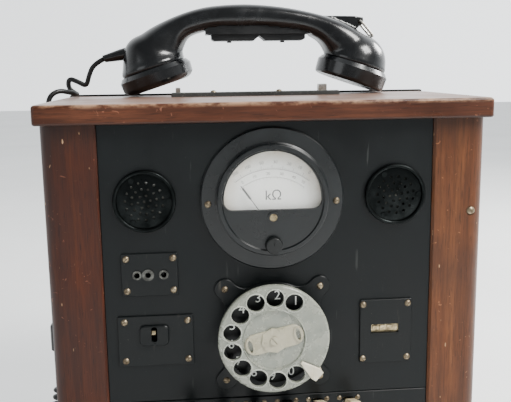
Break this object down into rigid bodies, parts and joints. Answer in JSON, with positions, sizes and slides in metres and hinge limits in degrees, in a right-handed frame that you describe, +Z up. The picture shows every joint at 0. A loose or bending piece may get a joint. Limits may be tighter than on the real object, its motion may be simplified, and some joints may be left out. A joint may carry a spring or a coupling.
{
  "type": "bench telephone test set",
  "caption": "Wooden-cabinet telephone test set with rotary dial, ohmmeter, lever keys, jack sockets and a press-to-talk handset on a curly cord.",
  "frame": {"origin": "on the floor under the centre of the object's box, free cord left out", "axes": "+X to the viewer's right, +Y to the back, +Z up; the front panel faces -Y"},
  "size_m": [0.338, 0.2, 0.3768],
  "materials": {
    "stained_oak": "worn satin varnish",
    "light_post": "worn satin varnish",
    "dark_post": "dark worn varnish",
    "side_wood": "satin varnish",
    "back_board": "black paint",
    "black_panel": "worn black paint",
    "black_rubber": "satin",
    "black_moulding": "gloss, lightly scuffed",
    "talk_bar_moulding": "worn satin",
    "screw_brass": "worn",
    "bright_metal": "worn nickel plate",
    "magnet_steel": "plain",
    "meter_glass": "clear",
    "scale_card": "aged white",
    "number_enamel": "black enamel",
    "aged_clear_plastic": "clear, aged and scuffed",
    "cream_plastic": "aged cream",
    "black_key": "gloss"
  },
  "bodies": {
    "cabinet": {"lid": "stained_oak", "post_left": "dark_post", "post_right": "light_post", "side_wall_left": "side_wood", "side_wall_right": "side_wood", "base_board": "side_wood", "back_panel": "back_board", "rubber_feet": "black_rubber", "wood_screws": "screw_brass", "front_panel": "black_panel", "key_panel": "black_panel", "jack_plate": "black_panel", "socket_bushes": "bright_metal", "switch_plate": "black_panel", "slot_plate": "black_panel", "lamp_strip": "screw_brass", "speaker_grilles": "bright_metal", "capsule_units": "bright_metal", "meter_housing": "black_moulding", "meter_glass": "meter_glass", "meter_scale": "scale_card", "meter_can": "bright_metal", "meter_magnet": "magnet_steel", "dial_plate": "black_panel", "dial_case": "black_moulding", "number_plate": "number_enamel", "finger_stop": "cream_plastic", "dial_mainspring": "bright_metal", "key_frames": "bright_metal", "small_screws": "screw_brass", "key_screws": "screw_brass", "hook_bar": "black_panel", "cord_gland": "black_moulding", "cord_lead": "black_rubber", "cord_coil": "black_rubber"},
    "handset": {"handset_handle": "black_moulding", "ear_cap": "black_moulding", "mouth_cap": "black_moulding", "handset_capsules": "bright_metal", "cord_relief": "black_moulding", "talk_bar_housing": "black_moulding"},
    "talk_bar": {"talk_bar": "talk_bar_moulding"},
    "hanging_ring": {"hanging_ring": "bright_metal"},
    "dial_rotor": {"finger_wheel": "aged_clear_plastic", "dial_hub_clip": "cream_plastic", "dial_shaft": "screw_brass"},
    "impulse_arbor": {"impulse_arbor": "screw_brass"},
    "governor": {"governor": "screw_brass"},
    "meter_movement": {"meter_pointer": "bright_metal"},
    "meter_zero": {"meter_zero_screw": "screw_brass"},
    "meter_knob": {"meter_knob": "black_moulding"},
    "switch_toggle": {"switch_toggle": "screw_brass"},
    "hook_plunger_left": {"hook_plunger_left": "bright_metal"},
    "hook_plunger_right": {"hook_plunger_right": "bright_metal"},
    "key_lever_1": {"key_lever_1": "black_key"},
    "key_lever_2": {"key_lever_2": "black_key"},
    "key_lever_3": {"key_lever_3": "black_key"},
    "key_lever_4": {"key_lever_4": "black_key"},
    "key_lever_5": {"key_lever_5": "cream_plastic"},
    "key_lever_6": {"key_lever_6": "cream_plastic"}
  },
  "joints": [
    {"name": "handset_lift", "type": "slide", "parent": "cabinet", "child": "handset", "axis": [0, 0, 1], "range_m": [0, 0.12]},
    {"name": "talk_bar_press", "type": "slide", "parent": "handset", "child": "talk_bar", "axis": [0, 0, 1], "range_m": [0, 0.0025], "stiffness_N_per_m": 600, "springref_m": -0.002},
    {"name": "ring_swing", "type": "hinge", "parent": "handset", "child": "hanging_ring", "pos_m": [0.0964, 0.0682, 0.362], "axis": [0, -1, 0], "range_deg": [0, 150]},
    {"name": "dial_turn", "type": "hinge", "parent": "cabinet", "child": "dial_rotor", "pos_m": [0.0008, -0.085, 0.1334], "axis": [0, 1, 0], "range_deg": [0, 333], "stiffness_Nm_per_rad": 0.02, "springref_deg": -57.3},
    {"name": "impulse_spin", "type": "hinge", "parent": "cabinet", "child": "impulse_arbor", "pos_m": [0.0008, -0.06, 0.1484], "axis": [0, 1, 0], "range_deg": [-1340, 5]},
    {"name": "governor_spin", "type": "hinge", "parent": "cabinet", "child": "governor", "pos_m": [-0.00871, -0.06, 0.14531], "axis": [0, 1, 0], "range_deg": [-5, 4005]},
    {"name": "meter_swing", "type": "hinge", "parent": "cabinet", "child": "meter_movement", "pos_m": [0.0024, -0.06, 0.21], "axis": [0, 1, 0], "range_deg": [0, 75], "stiffness_Nm_per_rad": 0.002, "springref_deg": -17.19},
    {"name": "meter_zero_turn", "type": "hinge", "parent": "cabinet", "child": "meter_zero", "pos_m": [0.0024, -0.08, 0.219], "axis": [0, 1, 0], "range_deg": [-30, 30]},
    {"name": "meter_knob_turn", "type": "hinge", "parent": "cabinet", "child": "meter_knob", "pos_m": [0.0024, -0.08, 0.1994], "axis": [0, 1, 0], "range_deg": [-150, 150]},
    {"name": "toggle_tip", "type": "hinge", "parent": "cabinet", "child": "switch_toggle", "pos_m": [-0.084, -0.0695, 0.135], "axis": [1, 0, 0], "range_deg": [0, 30]},
    {"name": "hook_press_left", "type": "slide", "parent": "cabinet", "child": "hook_plunger_left", "axis": [0, 0, -1], "range_m": [0, 0.003], "stiffness_N_per_m": 300, "springref_m": -0.003},
    {"name": "hook_press_right", "type": "slide", "parent": "cabinet", "child": "hook_plunger_right", "axis": [0, 0, -1], "range_m": [0, 0.003], "stiffness_N_per_m": 300, "springref_m": -0.003},
    {"name": "key_1_throw", "type": "hinge", "parent": "cabinet", "child": "key_lever_1", "pos_m": [-0.05875, -0.062, 0.069], "axis": [1, 0, 0], "range_deg": [0, 40]},
    {"name": "key_2_throw", "type": "hinge", "parent": "cabinet", "child": "key_lever_2", "pos_m": [-0.03525, -0.062, 0.069], "axis": [1, 0, 0], "range_deg": [0, 40]},
    {"name": "key_3_throw", "type": "hinge", "parent": "cabinet", "child": "key_lever_3", "pos_m": [-0.01175, -0.062, 0.069], "axis": [1, 0, 0], "range_deg": [0, 40]},
    {"name": "key_4_throw", "type": "hinge", "parent": "cabinet", "child": "key_lever_4", "pos_m": [0.01175, -0.062, 0.069], "axis": [1, 0, 0], "range_deg": [0, 40]},
    {"name": "key_5_throw", "type": "hinge", "parent": "cabinet", "child": "key_lever_5", "pos_m": [0.03525, -0.062, 0.069], "axis": [1, 0, 0], "range_deg": [0, 40], "stiffness_Nm_per_rad": 0.01, "springref_deg": -22.92},
    {"name": "key_6_throw", "type": "hinge", "parent": "cabinet", "child": "key_lever_6", "pos_m": [0.05875, -0.062, 0.069], "axis": [1, 0, 0], "range_deg": [0, 40], "stiffness_Nm_per_rad": 0.01, "springref_deg": -22.92}
  ],
  "couplings": [
    {"joint": "impulse_spin", "follows": "dial_turn", "ratio": -4},
    {"joint": "governor_spin", "follows": "dial_turn", "ratio": 12}
  ]
}
